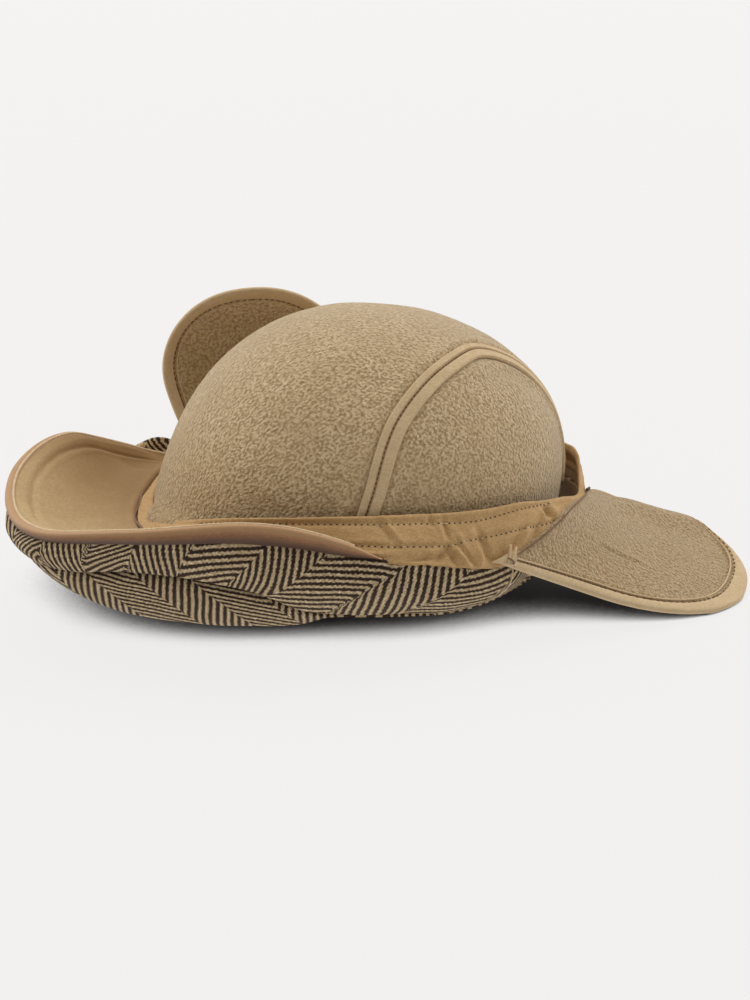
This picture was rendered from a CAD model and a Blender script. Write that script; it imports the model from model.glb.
# %% [markdown]
# # A tweed flat cap with ear flaps, turned upside down
#
# The cap lies on its crown. Its fleece lining has been pushed out, so it stands up like a
# dome, with the cotton sweatband round it like a collar. The peak points away from us to the
# left, one ear flap lies down on the right, and the other stands up behind the dome.
#
# Every cloth here is made in the same way. A flat grid is bent to the shape that a pattern
# piece takes on the cap, a Solidify modifier gives it its thickness, and a node material
# gives it its weave or pile. All lengths in the tables are millimetres.

# %% Load the frame
import math
from contextlib import contextmanager

import bmesh
import bpy
import numpy as np
from mathutils import Matrix, Vector, noise


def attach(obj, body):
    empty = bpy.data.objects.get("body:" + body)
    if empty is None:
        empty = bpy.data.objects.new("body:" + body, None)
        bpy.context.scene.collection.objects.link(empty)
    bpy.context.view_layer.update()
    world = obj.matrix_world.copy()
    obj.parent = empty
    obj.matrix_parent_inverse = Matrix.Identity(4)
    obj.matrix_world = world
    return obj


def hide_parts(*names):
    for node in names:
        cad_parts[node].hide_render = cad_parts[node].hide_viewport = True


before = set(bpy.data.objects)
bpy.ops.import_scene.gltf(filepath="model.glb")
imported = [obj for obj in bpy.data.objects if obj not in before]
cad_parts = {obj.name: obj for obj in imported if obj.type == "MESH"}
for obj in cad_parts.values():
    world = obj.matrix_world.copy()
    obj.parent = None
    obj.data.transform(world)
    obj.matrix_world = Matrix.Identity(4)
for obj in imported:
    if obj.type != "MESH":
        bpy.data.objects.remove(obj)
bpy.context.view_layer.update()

MM = 0.001
scene = bpy.context.scene


def add(name, data):
    """A new object in the scene, with this mesh, light or camera."""
    thing = bpy.data.objects.new(name, data)
    scene.collection.objects.link(thing)
    return thing


# %% [markdown]
# ## Where we stand
#
# The camera stands off the cap's front right, a little above it, as for a picture of a hat
# on a table. It could be placed by hand, but a bearing, a height and a distance are easier to
# read and to change. A long lens keeps the round shapes from bulging towards us.

# %% Camera
VIEW = {"azimuth": 60, "elevation": 18, "distance": 1.1, "lens": 83.16}
AIM = Vector((0.0043, 0.00745, 0.043))

azimuth, elevation = math.radians(VIEW["azimuth"]), math.radians(VIEW["elevation"])
back = Vector(
    (
        math.sin(azimuth) * math.cos(elevation),
        -math.cos(azimuth) * math.cos(elevation),
        math.sin(elevation),
    )
)
camera = add("camera", bpy.data.cameras.new("camera"))
camera.data.lens = VIEW["lens"]
camera.location = AIM + back * VIEW["distance"]
camera.rotation_euler = back.to_track_quat("Z", "Y").to_euler()
scene.camera = camera
print("camera at", [round(x, 3) for x in camera.location])

# %% [markdown]
# ## The studio
#
# The cap lies on a wide pale floor that runs out of the picture, so no horizon shows. A
# white sky fills the shadows. Studio light comes from large softboxes. They could be area
# lamps, but a very wide sun is as soft, and it lights every side alike wherever the cap lies.
# One hangs above and behind the cap, which leaves its near side a little darker than its
# top, and two lower ones stand at the sides.

# %% Floor and light
SKY = {"colour": (1.0, 0.985, 0.965, 1), "strength": 0.31}
SOFTBOXES = {  # name: bearing, height and width in degrees, strength, colour
    "light_above": (150, 72, 60, 1.3, (1.0, 0.985, 0.96)),
    "light_right": (88, 30, 60, 1.5, (1.0, 0.98, 0.95)),
    "light_left": (217, 32, 70, 1.75, (1.0, 0.98, 0.95)),
}
FLOOR = {"half_size": 9, "below_cap": 0.0002}

scene.view_settings.view_transform = "Standard"
world = bpy.data.worlds.new("studio")
world.use_nodes = True
sky = world.node_tree.nodes["Background"].inputs
sky["Color"].default_value = SKY["colour"]
sky["Strength"].default_value = SKY["strength"]
scene.world = world

for name, (bearing, height, width, strength, light_colour) in SOFTBOXES.items():
    light = add(name, bpy.data.lights.new(name, "SUN"))
    light.data.energy = strength
    light.data.angle = math.radians(width)
    light.data.color = light_colour
    turn, lift = math.radians(bearing), math.radians(height)
    level = math.cos(lift)
    towards = Vector((math.cos(turn) * level, math.sin(turn) * level, math.sin(lift)))
    light.rotation_euler = towards.to_track_quat("Z", "Y").to_euler()

bm = bmesh.new()
bmesh.ops.create_grid(bm, x_segments=2, y_segments=2, size=FLOOR["half_size"])
floor_mesh = bpy.data.meshes.new("floor")
bm.to_mesh(floor_mesh)
bm.free()
floor_mesh.transform(Matrix.Translation((0, 0, -FLOOR["below_cap"])))
floor = add("floor", floor_mesh)

# %% [markdown]
# ## Finishes
#
# Each finish is a small network of nodes. It could be wired by hand in the shader editor. A
# helper makes the material and its nodes here, so that each recipe below reads as a list of
# steps, and a sum or a product of two values makes a Math node by itself. Colours are written
# as they look on a screen, from 0 to 255, and turned into the linear numbers that the shader
# works with.

# %% Helpers for node materials
SPECULAR = 0.25


def colour(red, green, blue):
    """A screen colour, 0 to 255 for each part, as a shader's linear colour."""
    parts = [part / 255 for part in (red, green, blue)]
    return (*[p / 12.92 if p <= 0.04045 else ((p + 0.055) / 1.055) ** 2.4 for p in parts], 1)


class Value:
    """What comes out of a node. Arithmetic with it makes Math nodes."""

    def __init__(self, recipe, socket):
        self.recipe, self.socket = recipe, socket

    def __add__(self, other):
        return self.recipe.math("ADD", self, other)

    def __sub__(self, other):
        return self.recipe.math("SUBTRACT", self, other)

    def __rsub__(self, other):
        return self.recipe.math("SUBTRACT", other, self)

    def __mul__(self, other):
        return self.recipe.math("MULTIPLY", self, other)

    def __truediv__(self, other):
        return self.recipe.math("DIVIDE", self, other)

    def __pow__(self, other):
        return self.recipe.math("POWER", self, other)


class Recipe:
    """A node material: step() adds a node, sets its values and plugs other nodes into it."""

    def __init__(self, name):
        self.material = bpy.data.materials.new(name)
        self.material.use_nodes = True
        self.tree = self.material.node_tree
        self.shader = self.tree.nodes["Principled BSDF"]

    def plug(self, value, socket):
        if isinstance(value, Value):
            self.tree.links.new(value.socket, socket)
        else:
            socket.default_value = value

    def step(self, kind, *values, out=0, **settings):
        """Values go to the node's inputs in order; None leaves an input as it is."""
        node = self.tree.nodes.new("ShaderNode" + kind)
        named = {key: settings.pop(key) for key in list(settings) if key[0].isupper()}
        for key, value in settings.items():
            setattr(node, key, value)
        for socket, value in zip(node.inputs, values):
            if value is not None:
                self.plug(value, socket)
        for key, value in named.items():
            self.plug(value, node.inputs[key.replace("_", " ")])
        return Value(self, node.outputs[out])

    def math(self, operation, *values):
        return self.step("Math", *values, operation=operation)

    def noise(self, where, size, detail=2.0, rough=0.5, stretch=(1, 1, 1)):
        """Cloudy noise with lumps about `size` metres across, pulled out along its axes."""
        placed = self.step("Mapping", where, Scale=tuple(1 / (size * s) for s in stretch))
        return self.step("TexNoise", Vector=placed, Scale=1.0, Detail=detail, Roughness=rough)

    def lying_noise(self, where, size, long, turn, detail=2.0, rough=0.5):
        """Noise in grains `size` metres thick that lie along one way, `long` times as long."""
        placed = self.step(
            "Mapping", where, Rotation=turn, Scale=(size * long, size, size), vector_type="TEXTURE"
        )
        return self.step("TexNoise", Vector=placed, Scale=1.0, Detail=detail, Roughness=rough)

    def mix(self, share, first, second):
        node = self.tree.nodes.new("ShaderNodeMix")
        node.data_type = "RGBA"
        for value, socket in zip((share, first, second), (0, 6, 7)):
            self.plug(value, node.inputs[socket])
        return Value(self, node.outputs[2])

    def spread(self, value, low, high, to_low=0.0, to_high=1.0):
        """The value's range from low to high, eased over to another range."""
        return self.step(
            "MapRange", value, low, high, to_low, to_high, interpolation_type="SMOOTHSTEP"
        )

    def finish(self, base, height=None, depth=0.001, rough=0.9, sheen=(0.0, 0.6), sheen_tint=None):
        """Plugs in the colour and the relief. Sheen is its weight and its roughness."""
        self.plug(base, self.shader.inputs["Base Color"])
        self.plug(rough, self.shader.inputs["Roughness"])
        self.shader.inputs["Specular IOR Level"].default_value = SPECULAR
        self.shader.inputs["Sheen Weight"].default_value = sheen[0]
        self.shader.inputs["Sheen Roughness"].default_value = sheen[1]
        if sheen_tint:
            self.shader.inputs["Sheen Tint"].default_value = sheen_tint
        if height is not None:
            bump = self.step("Bump", Strength=1.0, Distance=depth, Height=height)
            self.plug(bump, self.shader.inputs["Normal"])
        return self.material


def object_place(recipe):
    return recipe.step("TexCoord", out=3)


print("mid grey on a screen is", round(colour(128, 128, 128)[0], 3), "in linear light")

# %% [markdown]
# ## The floor's finish
#
# The floor is pale paper, evenly lit, with a soft dark patch under the cap where little light
# gets in. Real light would do this by itself, but then the paper's tone would change with
# every lamp. So most of its tone is its own glow, and the Ambient Occlusion node dims that
# glow where the cap hides the open side. The node is given a slanting normal, as if most
# daylight came from the cap's front right, so the dark patch reaches out behind the cap.

# %% Floor finish
FLOOR_GRAIN = {"size": 0.0006, "depth": 0.00002}
FLOOR_GLOW = {
    "strength": 0.95,
    "daylight": (0.75, -0.43, 0.5),
    "reach": 0.15,
    "hidden": 0.44,
    "open": 0.69,
    "contrast": 1.2,
    "samples": 16,
}

paper = Recipe("paper_floor")
grain = paper.noise(object_place(paper), FLOOR_GRAIN["size"], detail=3)
sheet_colour = paper.mix(grain, colour(50, 49, 49), colour(53, 52, 52))
daylight = paper.step("CombineXYZ", *FLOOR_GLOW["daylight"])
seen = paper.step(
    "AmbientOcclusion", None, FLOOR_GLOW["reach"], daylight, out=1, samples=FLOOR_GLOW["samples"]
)
seen = paper.spread(seen, FLOOR_GLOW["hidden"], FLOOR_GLOW["open"])
glow = paper.mix(seen ** FLOOR_GLOW["contrast"], colour(22, 21, 20), colour(240, 239, 238))
paper.plug(glow, paper.shader.inputs["Emission Color"])
paper.shader.inputs["Emission Strength"].default_value = FLOOR_GLOW["strength"]
floor_mesh.materials.append(paper.finish(sheet_colour, grain, FLOOR_GRAIN["depth"], rough=1.0))
print("floor finish:", len(paper.tree.nodes), "nodes")

# %% [markdown]
# ## Herringbone tweed
#
# Tweed's herringbone is a twill whose slant turns over from one column to the next. The
# pattern could be a picture wrapped round the cap, but nodes stay sharp at any distance. It
# is drawn on the cloth's own map: the first number runs across the columns and the second
# along them, in millimetres. In each column a slanting line rises by one for one. The next
# column slants the other way, and starts half a stripe later. Woolly yarn has no clean
# edges, so noise frays the stripes, and a fine wave across them stands for the twisted
# yarns. Where the light yarn floats on top, the cloth stands a little higher.

# %% Tweed
COLUMN = 20.6
STRIPE = 4.3
YARN_TWIST = 1.25
COLUMN_WANDER = 2.0
STRIPE_FRAY = 2.6
TWIST_SHARE = 0.3
TWEED_DEPTH = 0.0006


def tweed_finish():
    r = Recipe("herringbone_tweed")
    weave = r.step("UVMap", uv_map="weave")
    where = object_place(r)
    across = r.step("SeparateXYZ", weave, out=0)
    along = r.step("SeparateXYZ", weave, out=1)
    wander = r.noise(where, 0.016, detail=1)
    across = across + (wander - 0.5) * COLUMN_WANDER
    column = r.math("FLOOR", across / COLUMN)
    inside = across - column * COLUMN
    odd = r.math("PINGPONG", column, 1.0)
    slant = 1.0 - odd * 2.0
    line = along + slant * inside
    line = line + odd * (STRIPE / 2)
    fray = r.noise(where, 0.0011, detail=3, rough=0.7)
    line = line + (fray - 0.5) * STRIPE_FRAY
    wave = r.math("SINE", line * (2 * math.pi / STRIPE))
    twist = r.math("SINE", across * (2 * math.pi / YARN_TWIST))
    wave = wave + twist * TWIST_SHARE
    light_yarn = r.spread(wave, -0.3, 0.4)

    fuzz = r.noise(where, 0.0005, detail=4, rough=0.75)
    patch = r.noise(where, 0.009, detail=2)
    cream = r.mix(r.spread(fuzz, 0.32, 0.64), colour(132, 103, 70), colour(255, 234, 192))
    ridge = r.spread(wave, 0.1, 1.1, 0.55, 0.0) * r.spread(fray, 0.3, 0.7)
    cream = r.mix(ridge, cream, colour(150, 114, 74))
    bead = r.math("SINE", (across + line) * (math.pi / YARN_TWIST))
    cream = r.mix(r.spread(bead, -0.2, 1.0, 0.0, 0.5), cream, colour(146, 116, 82))
    cream = r.mix(r.spread(patch, 0.35, 0.7, 0.0, 0.35), cream, colour(184, 156, 118))
    brown = r.mix(r.spread(fuzz, 0.35, 0.75), colour(24, 15, 10), colour(78, 55, 38))
    height = light_yarn * 0.6 + fuzz * 0.9
    tone = r.mix(light_yarn, brown, cream)
    tint = colour(200, 185, 160)
    return r.finish(tone, height, TWEED_DEPTH, rough=0.95, sheen=(0.1, 0.6), sheen_tint=tint)


TWEED = tweed_finish()
print("tweed:", len(TWEED.node_tree.nodes), "nodes")

# %% [markdown]
# ## Fleece
#
# Short-pile fleece looks like fine crushed velvet: tiny curls, a little longer one way than
# the other, with darker hollows between them. Real hairs could be grown, but they would be
# millions. One noise makes the curls and a finer one the hairs, both as tone and as relief,
# and sheen gives the soft bright rim that pile has where it turns away from us. The pile is
# darker near its foot, where it rubs against the band.

# %% Fleece
PILE_LIES = (0, -0.61, 1.047)
CURL = {"size": 0.00125, "long": 1.15, "share": 0.85}
HAIR = {"size": 0.0005, "share": 0.2}
FOOT = {"low": 0.045, "high": 0.09, "share": 0.36}
PILE_DEPTH = 0.0018


def fleece_finish():
    r = Recipe("short_pile_fleece")
    where = object_place(r)
    curls = r.lying_noise(where, CURL["size"], CURL["long"], PILE_LIES, detail=1, rough=0.45)
    hairs = r.noise(where, HAIR["size"], detail=2, rough=0.6)
    patch = r.noise(where, 0.022, detail=2)
    pile = curls * CURL["share"] + hairs * HAIR["share"]
    tone = r.mix(r.spread(pile, 0.34, 0.7), colour(164, 135, 95), colour(218, 194, 155))
    tone = r.mix(r.spread(patch, 0.3, 0.7, 0.0, 0.3), tone, colour(184, 156, 116))
    height = r.step("SeparateXYZ", where, out=2)
    foot = r.spread(height, FOOT["low"], FOOT["high"], FOOT["share"], 0.0)
    tone = r.mix(foot, tone, colour(140, 110, 70))
    tint = colour(255, 242, 220)
    return r.finish(tone, pile, PILE_DEPTH, rough=1.0, sheen=(0.95, 0.36), sheen_tint=tint)


FLEECE = fleece_finish()
print("fleece:", len(FLEECE.node_tree.nodes), "nodes")

# %% [markdown]
# ## Cotton, binding, piping and thread
#
# The band and the peak's lining are plain cotton, fine enough that its yarns hardly show: a
# faint grain along and across, and soft mottling from wear. The tape and the binding are a
# paler cotton. The piping is a smooth brown cloth, which is paler along its rubbed top and
# darker underneath. One recipe serves for all of them, because only their tones and their
# shine differ: each is given its main tone, a paler one and a darker one.

# %% Smooth cloths
def plain_cloth(name, tones, grain=0.0005, depth=0.0002, shine=(0.85, 0.1), worn=None, top=None):
    """A finely woven cloth: crossed grain, mottling, and yarns that are paler or darker.

    Shine is its roughness and its sheen.
    Worn is where a cloth goes dark from handling: two places from front to back, and the tone.
    Top is for a cord: the faces round it, and the tones of its top and its underside.
    """
    tone, pale, dark = (colour(*parts) for parts in tones)
    r = Recipe(name)
    where = object_place(r)
    warp = r.noise(where, grain, detail=2, stretch=(1, 1, 5))
    weft = r.noise(where, grain, detail=2, stretch=(4, 4, 1))
    weave = warp * 0.5 + weft * 0.5
    mottle = r.noise(where, 0.011, detail=4, rough=0.6)
    base = r.mix(r.spread(weave, 0.38, 0.62), dark, pale)
    base = r.mix(0.55, base, tone)
    base = r.mix(r.spread(mottle, 0.3, 0.72, 0.0, 0.35), base, dark)
    if worn:
        from_front = r.step("SeparateXYZ", where, out=1)
        base = r.mix(r.spread(from_front, *worn[:2], 0.0, 0.8), base, colour(*worn[2]))
    if top:
        round_way = r.step("SeparateXYZ", r.step("UVMap", uv_map="weave"), out=1)
        upward = r.math("COSINE", round_way * (2 * math.pi / top[0]))
        base = r.mix(r.spread(upward, 0.1, 0.9, 0.0, 0.7), base, colour(*top[1]))
        base = r.mix(r.spread(upward, 0.45, -0.7, 0.0, 0.85), base, colour(*top[2]))
    return r.finish(base, weave + mottle * 1.5, depth, rough=shine[0], sheen=(shine[1], 0.6))


COTTON = plain_cloth("band_cotton", ((188, 152, 102), (206, 172, 122), (156, 119, 72)))
PEAK_COTTON = plain_cloth(
    "peak_cotton",
    ((186, 157, 113), (198, 171, 127), (164, 133, 88)),
    worn=(-0.145, -0.09, (132, 98, 54)),
)
TAPE_CLOTH = plain_cloth("seam_tape", ((205, 180, 141), (217, 194, 156), (180, 151, 110)))
BINDING_CLOTH = plain_cloth(
    "flap_binding_cloth", ((203, 178, 140), (212, 189, 152), (184, 156, 116)), depth=0.00014
)
PIPING_FACES = 16
PIPING_CLOTH = plain_cloth(
    "piping_cloth",
    ((142, 96, 56), (164, 118, 76), (104, 66, 36)),
    grain=0.0004,
    depth=0.00012,
    shine=(0.55, 0.08),
    top=(PIPING_FACES, (190, 152, 110), (56, 30, 12)),
)
PALE_THREAD = plain_cloth("pale_thread", ((218, 196, 160), (232, 213, 180), (184, 156, 116)))
DARK_THREAD = plain_cloth("dark_thread", ((84, 58, 36), (104, 76, 50), (56, 38, 24)))
BROWN_THREAD = plain_cloth("brown_thread", ((128, 98, 66), (150, 118, 84), (96, 70, 44)))
RUST_THREAD = plain_cloth("rust_thread", ((176, 112, 52), (198, 134, 74), (140, 84, 38)))
print("finishes:", sorted(m.name for m in bpy.data.materials))

# %% [markdown]
# ## From a table to a smooth line
#
# A maker checks a cap at a few places and lets the cloth run smoothly between them. Here
# each table gives such places, and `smooth_line` draws a curve through them: between two
# rows it is a cubic whose slope at each row is the mean of the slopes on both sides. Blender
# has curves of its own, but a plain function can be asked for any place, by any cloth.

# %% Curves through tables
def smooth_line(rows, ring=False):
    """A function from a place (the first column) to the other columns at that place."""
    table = np.array(rows, float)
    if ring:
        turn = np.zeros(table.shape[1])
        turn[0] = 360
        table = np.vstack([table - turn, table, table + turn])
    places, values = table[:, 0], table[:, 1:]
    secants = np.diff(values, axis=0) / np.diff(places)[:, None]
    slopes = np.vstack([secants[:1], (secants[1:] + secants[:-1]) / 2, secants[-1:]])

    def at(place):
        place = np.asarray(place, float)
        i = np.clip(np.searchsorted(places, place, side="right") - 1, 0, len(places) - 2)
        span = (places[i + 1] - places[i])[..., None]
        t = (place - places[i])[..., None] / span
        return (
            (1 + 2 * t) * (1 - t) ** 2 * values[i]
            + t * (1 - t) ** 2 * span * slopes[i]
            + t * t * (3 - 2 * t) * values[i + 1]
            - t * t * (1 - t) * span * slopes[i + 1]
        )

    return at


def around(bearing, radius, height):
    """Points at a bearing in degrees round the cap's upright axis."""
    turn = np.radians(bearing)
    return np.stack(np.broadcast_arrays(radius * np.cos(turn), radius * np.sin(turn), height), -1)


def columns(values):
    """The last axis of an array as separate arrays, one for each column of a table."""
    return np.moveaxis(values, -1, 0)


def unit(v):
    return v / np.maximum(np.linalg.norm(v, axis=-1, keepdims=True), 1e-9)


def turned_out(ways, points, away_from):
    """The same ways, turned over where they look towards the point away_from."""
    return ways * np.sign(np.sum(ways * (points - np.array(away_from, float)), -1))[..., None]


def lerp(first, last, t):
    return first + (last - first) * t


def eased(value, low, high):
    """0 below low, 1 above high, and a smooth step between."""
    t = np.clip((value - low) / (high - low), 0, 1)
    return t * t * (3 - 2 * t)


def hump(distance, middle, spread):
    """1 at the middle, and less on both sides, like a soft hill."""
    return np.exp(-(((distance - middle) / spread) ** 2))


def hills(distance, rows):
    """Soft hills side by side, or dips where the height is negative: height, middle, spread."""
    return sum(height * hump(distance, middle, spread) for height, middle, spread in rows)


def lumps(points, rows):
    """Smooth random heights. Each row has a height, the size of its lumps, and a seed."""
    total = np.zeros(points.shape[:-1])
    for height, size, seed in rows:
        flat = points.reshape(-1, 3) / size + seed
        total += height * np.array([noise.noise(Vector(p)) for p in flat]).reshape(total.shape)
    return total


def creases(x, y, rows, around_length=None):
    """Ridges, or valleys where the height is negative, drawn on a cloth's own map.

    Each row has a middle x, y, a slant in degrees, a half length, a half width and a height.
    """
    total = np.zeros(np.broadcast(x, y).shape)
    for middle_x, middle_y, slant, reach, spread, height in rows:
        off = x - middle_x
        if around_length:
            off = (off + around_length / 2) % around_length - around_length / 2
        c, s = math.cos(math.radians(slant)), math.sin(math.radians(slant))
        along, aside = off * c + (y - middle_y) * s, (y - middle_y) * c - off * s
        total += height * hump(along, 0, reach) * hump(aside, 0, spread)
    return total


halfway = smooth_line([(0, 0), (1, 2), (2, 3)])(0.5)[0]
print("half way from 0 to 2, before a gentler rise:", round(float(halfway), 3))

# %% [markdown]
# ## From a curve to a cloth
#
# Cloth can be simulated or sculpted, but this cap's folds are known, so each piece is placed
# by rule. `cloth` starts from Blender's own grid, so its faces are already made. Each grid
# point has two numbers from 0 to 1, and a function says where in space that point belongs. A
# second function may push points along the cloth's normal, which is how seams sink, hems
# swell and creases run. A third gives the cloth's own map, which the woven patterns follow.

# %% Helpers for cloth
@contextmanager
def opened(mesh):
    """The mesh opened for editing; afterwards it is written back and shaded smooth."""
    bm = bmesh.new()
    bm.from_mesh(mesh)
    yield bm
    bm.to_mesh(mesh)
    bm.free()
    mesh.shade_smooth()


def cloth(name, steps, place, away_from, height=None, own_map=None, ring=False):
    """A grid of steps[0] by steps[1] faces, bent to place(a, b) in millimetres.

    Its faces look away from the point away_from. A ring closes on itself along a.
    """
    across, along = steps
    bm = bmesh.new()
    bmesh.ops.create_grid(bm, x_segments=across, y_segments=along, size=0.5)
    mesh = bpy.data.meshes.new(name)
    bm.to_mesh(mesh)
    bm.free()
    flat = np.empty(len(mesh.vertices) * 3)
    mesh.vertices.foreach_get("co", flat)
    flat = flat.reshape(-1, 3)[:, :2] + 0.5
    index = np.rint(flat[:, 1] * along).astype(int) * (across + 1)
    index += np.rint(flat[:, 0] * across).astype(int)

    a, b = np.meshgrid(np.linspace(0, 1, across + 1), np.linspace(0, 1, along + 1))
    points = place(a, b)
    run = np.concatenate([points[:, -2:-1], points, points[:, 1:2]], 1) if ring else points
    ahead = np.gradient(run, axis=1)[:, 1:-1] if ring else np.gradient(run, axis=1)
    normals = unit(np.cross(ahead, np.gradient(points, axis=0)))
    turned = np.sum(normals * (points - np.array(away_from, float))) < 0
    if turned:
        normals = -normals
    if height is not None:
        points = points + normals * height(a, b)[..., None]
    mesh.vertices.foreach_set("co", (points.reshape(-1, 3)[index] * MM).ravel())

    corners = np.empty(len(mesh.loops), int)
    mesh.loops.foreach_get("vertex_index", corners)
    weave = own_map(a, b) if own_map else np.stack([a * across, b * along], -1)
    layer = mesh.uv_layers.new(name="weave")
    layer.data.foreach_set("uv", weave.reshape(-1, 2)[index][corners].ravel())

    with opened(mesh) as bm:
        bmesh.ops.remove_doubles(bm, verts=bm.verts, dist=1e-6)
        if turned:
            bmesh.ops.reverse_faces(bm, faces=bm.faces)
    return add(name, mesh)


def thicken(piece, wall, rounded=True):
    """Gives a cloth its thickness behind its face, and rounds its edges."""
    solid = piece.modifiers.new("thickness", "SOLIDIFY")
    solid.thickness = wall * MM
    solid.offset = -1
    if rounded:
        smooth = piece.modifiers.new("smooth", "SUBSURF")
        smooth.levels = smooth.render_levels = 1
    return solid


def close_ends(piece):
    """Closes the open ends of a tube."""
    with opened(piece.data) as bm:
        bmesh.ops.holes_fill(bm, edges=[e for e in bm.edges if e.is_boundary], sides=0)
        bmesh.ops.recalc_face_normals(bm, faces=bm.faces)


def sew_on(piece, finish, slot, *nodes):
    """Gives a piece its finish and its place in the part."""
    piece.data.materials.append(finish)
    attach(piece, "root")
    if nodes:
        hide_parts(*nodes)
    seen = piece.evaluated_get(bpy.context.evaluated_depsgraph_get()).to_mesh()
    seen.calc_loop_triangles()
    print(f"{piece.name}: {len(seen.loop_triangles)} triangles")
    return piece


print("one unit of the scene is", round(1 / MM), "mm of cloth")

# %% [markdown]
# ## Cords and stitches
#
# A thin cord is a round tube along a line. A stitch is a tiny rounded body that lies along
# its seam. It could be drawn in the finish, but a real stitch stands up and casts a small
# shadow. A row has hundreds of them, so each has only a few faces. `on_cloth` finds the face
# of a finished cloth, so that cords and stitches lie on it and not inside it.

# %% Helpers for cords and stitches
def on_cloth(place, height, away_from, a, b, off=0.0):
    """Points on a cloth's face, stood off by a little, with the way ahead and the way out."""
    a, b = np.broadcast_arrays(np.asarray(a, float), np.asarray(b, float))
    step = 1e-3
    ahead = unit(place(a + step, b) - place(a - step, b))
    out = unit(np.cross(ahead, place(a, b + step) - place(a, b - step)))
    points = place(a, b)
    out = turned_out(out, points, away_from)
    return points + out * (height(a, b) + off)[..., None], ahead, out


def cord(name, line, radius, steps, toward=(0, 0, 1), sides=8):
    """A round cord along line(a), for a from 0 to 1; it never runs along `toward`."""

    def place(a, b):
        ahead = unit(line(a + 1e-3) - line(a - 1e-3))
        side = unit(np.cross(ahead, np.array(toward, float)))
        turn = (2 * math.pi * b)[..., None]
        return line(a) + radius * (side * np.cos(turn) + np.cross(side, ahead) * np.sin(turn))

    piece = cloth(name, (steps, sides), place, (0, 0, 0))
    close_ends(piece)
    return piece


def way_along(spots):
    return unit(np.gradient(spots, axis=0))


STITCH_SIDES = 6
STITCH_RINGS = 4


def stitch_row(name, spots, ahead, out, size):
    """A stitch at each spot, lying along the way ahead, with its top towards the way out.

    Its size is its length, its width and its height.
    """
    side = unit(np.cross(out, ahead))
    lifted = np.cross(ahead, side)
    length, width, height = size
    half = Matrix.Diagonal((width / 2, height / 2, length / 2, 1))
    mesh = bpy.data.meshes.new(name)
    with opened(mesh) as bm:
        for spot, *axes in zip(spots, side, lifted, ahead):
            turned = Matrix(np.array(axes).T.tolist()).to_4x4()
            place = Matrix.Translation((spot * MM).tolist()) @ turned @ half
            bmesh.ops.create_uvsphere(
                bm, u_segments=STITCH_SIDES, v_segments=STITCH_RINGS, radius=MM, matrix=place
            )
    return add(name, mesh)


print("a stitch has", 2 * STITCH_SIDES * (STITCH_RINGS - 1), "triangles")

# %% [markdown]
# ## The lining
#
# The lining is three pieces of fleece sewn along two seams. Pushed out of the cap, it makes
# a dome that leans to the back, and it swells a little at the front, above the peak. It could
# be one ball cut into panels. Instead each seam is a line on a unit half-sphere, and a panel
# is the stretch between two such lines. The same rule turns a direction into a place on the
# dome, so panels and tapes always agree.

# %% The dome's shape
DOME = {
    "half_width": 88,
    "half_length": 99,
    "foot": 44,
    "height": 92,
    "fullness": 2.13,
    "lean": 9.5,
    "slope": 0.08,
}
FRONT_SWELL = {"out": 6.5, "bearing": 272, "aside": 0.94, "ahead": 0.99, "low": 0.04, "high": 0.14}
LINING_SEAM = [  # along, bearing, lift
    (0.0, -27, 0),
    (0.15, -25, 16),
    (0.32, -17.5, 38),
    (0.45, 1, 51),
    (0.58, 30, 56.5),
    (0.7, 50, 49),
    (0.84, 60, 32),
    (1.0, 64, 0),
]
lining_seam = smooth_line(LINING_SEAM)


def direction(bearing, lift):
    return around(bearing, np.cos(np.radians(lift)), np.sin(np.radians(lift)))


def dome_point(way, off=0.0):
    """The dome's point in a direction on the unit half-sphere, stood off by a little."""
    level = np.hypot(way[..., 0], way[..., 1])
    full = DOME["fullness"]
    reach = (level**full + np.abs(way[..., 2]) ** full) ** (-1 / full)
    lift = way[..., 2] * reach
    x = (DOME["half_width"] + off) * way[..., 0] * reach
    y = (DOME["half_length"] + off) * way[..., 1] * reach
    z = DOME["foot"] + (DOME["height"] + off) * lift - DOME["slope"] * y * lift * lift
    facing = np.radians(FRONT_SWELL["bearing"])
    ahead = way[..., 0] * math.cos(facing) + way[..., 1] * math.sin(facing)
    ahead = eased(ahead / np.maximum(level, 1e-6), FRONT_SWELL["aside"], FRONT_SWELL["ahead"])
    low = 1 - eased(lift, FRONT_SWELL["low"], FRONT_SWELL["high"])
    swell = FRONT_SWELL["out"] * ahead * low
    return np.stack([x, y + DOME["lean"] * (1 - (1 - lift) ** 2) - swell, z], -1)


def seam_right(along):
    return direction(*columns(lining_seam(along)))


def rim_right(along):
    return direction(lerp(LINING_SEAM[0][1], LINING_SEAM[-1][1], along), 0 * along)


def mirrored(line):
    return lambda along: line(along) * np.array([-1, 1, 1])


seam_left, rim_left = mirrored(seam_right), mirrored(rim_right)
print("top of the dome, in millimetres:", dome_point(np.array([0.0, 0, 1])).round(1))

# %% [markdown]
# ## Fleece panels
#
# Fleece is thick and soft, so it never lies quite even. Its lumps could be left to the finish,
# but then the dome's outline would be as smooth as an egg, so the larger ones are in the
# mesh. Along a seam the stitching pulls the fleece down, and it swells beside the tape.

# %% Fleece panels
PANEL_GAP = 0.8
FLEECE_WALL = 2.0
FLEECE_LUMPS = [(0.45, 26, 3.1), (0.12, 3.6, 9.7)]
SEAM_RELIEF = [(1.0, 8.5, 3.2), (-1.2, 0, 4.6)]  # height, distance from the seam, spread
SIDE_END = 0.03


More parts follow.
